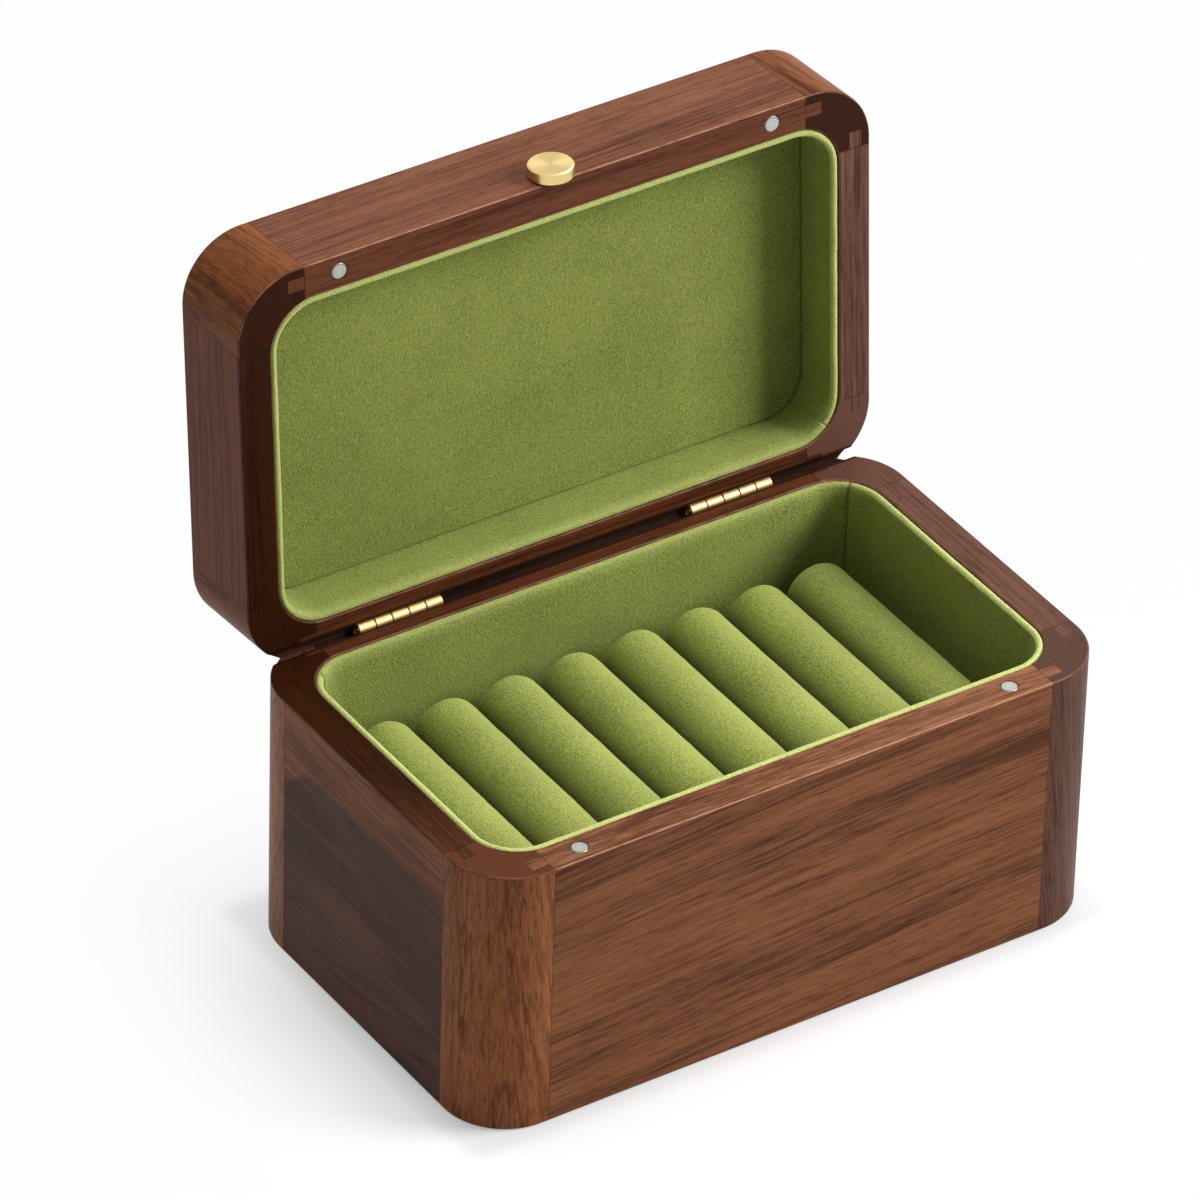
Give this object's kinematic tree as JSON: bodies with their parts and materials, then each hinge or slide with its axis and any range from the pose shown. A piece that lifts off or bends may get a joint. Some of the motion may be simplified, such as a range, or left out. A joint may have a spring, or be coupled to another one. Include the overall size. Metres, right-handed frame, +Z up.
{
  "type": "bangle box",
  "caption": "Free-standing wooden bangle box with a hinged magnetic lid, a fabric lining and a tray of padded rolls that bangles slip between.",
  "frame": {"origin": "centre of the flat underside, where the box rests", "axes": "+X to the right along the front, -Y towards the front, +Z up"},
  "size_m": [0.24, 0.1842, 0.2445],
  "materials": {
    "board_wood": "satin oiled walnut, grain along the board",
    "post_wood": "satin oiled walnut, grain upright",
    "panel_wood": "satin oiled walnut panel",
    "bearer_wood": "planed softwood, unfinished",
    "velvet": "moss green velvet",
    "tray_velvet": "moss green velvet over board",
    "hinge_brass": "polished brass",
    "knob_brass": "fine turned satin brass",
    "magnet": "nickel-plated magnet",
    "screw_steel": "zinc-plated steel"
  },
  "bodies": {
    "base": {"base_front_board": "board_wood", "base_back_board": "board_wood", "base_left_board": "board_wood", "base_right_board": "board_wood", "base_post_front_left": "post_wood", "base_post_front_right": "post_wood", "base_post_back_left": "post_wood", "base_post_back_right": "post_wood", "base_bottom_panel": "panel_wood", "base_wall_lining": "velvet", "base_back_lining": "velvet", "base_magnet_left": "magnet", "base_magnet_right": "magnet", "roll_tray_board": "tray_velvet", "tray_bearer_front": "bearer_wood", "tray_bearer_back": "bearer_wood", "bangle_roll_1": "velvet", "bangle_roll_2": "velvet", "bangle_roll_3": "velvet", "bangle_roll_4": "velvet", "bangle_roll_5": "velvet", "bangle_roll_6": "velvet", "bangle_roll_7": "velvet", "bangle_roll_8": "velvet", "left_hinge_base_leaf": "hinge_brass", "left_hinge_pin": "hinge_brass", "left_hinge_base_screws": "hinge_brass", "right_hinge_base_leaf": "hinge_brass", "right_hinge_pin": "hinge_brass", "right_hinge_base_screws": "hinge_brass"},
    "lid": {"lid_front_board": "board_wood", "lid_back_board": "board_wood", "lid_left_board": "board_wood", "lid_right_board": "board_wood", "lid_post_front_left": "post_wood", "lid_post_front_right": "post_wood", "lid_post_back_left": "post_wood", "lid_post_back_right": "post_wood", "lid_top_panel": "panel_wood", "lid_wall_lining": "velvet", "lid_back_lining": "velvet", "lid_ceiling_pad": "velvet", "lid_magnet_left": "magnet", "lid_magnet_right": "magnet", "lid_knob": "knob_brass", "knob_screw": "screw_steel", "left_hinge_lid_leaf": "hinge_brass", "left_hinge_lid_screws": "hinge_brass", "right_hinge_lid_leaf": "hinge_brass", "right_hinge_lid_screws": "hinge_brass"}
  },
  "joints": [
    {"name": "lid_hinge", "type": "hinge", "parent": "base", "child": "lid", "pos_m": [0, 0.068, 0.10015], "axis": [1, 0, 0], "range_deg": [0, 94]}
  ]
}
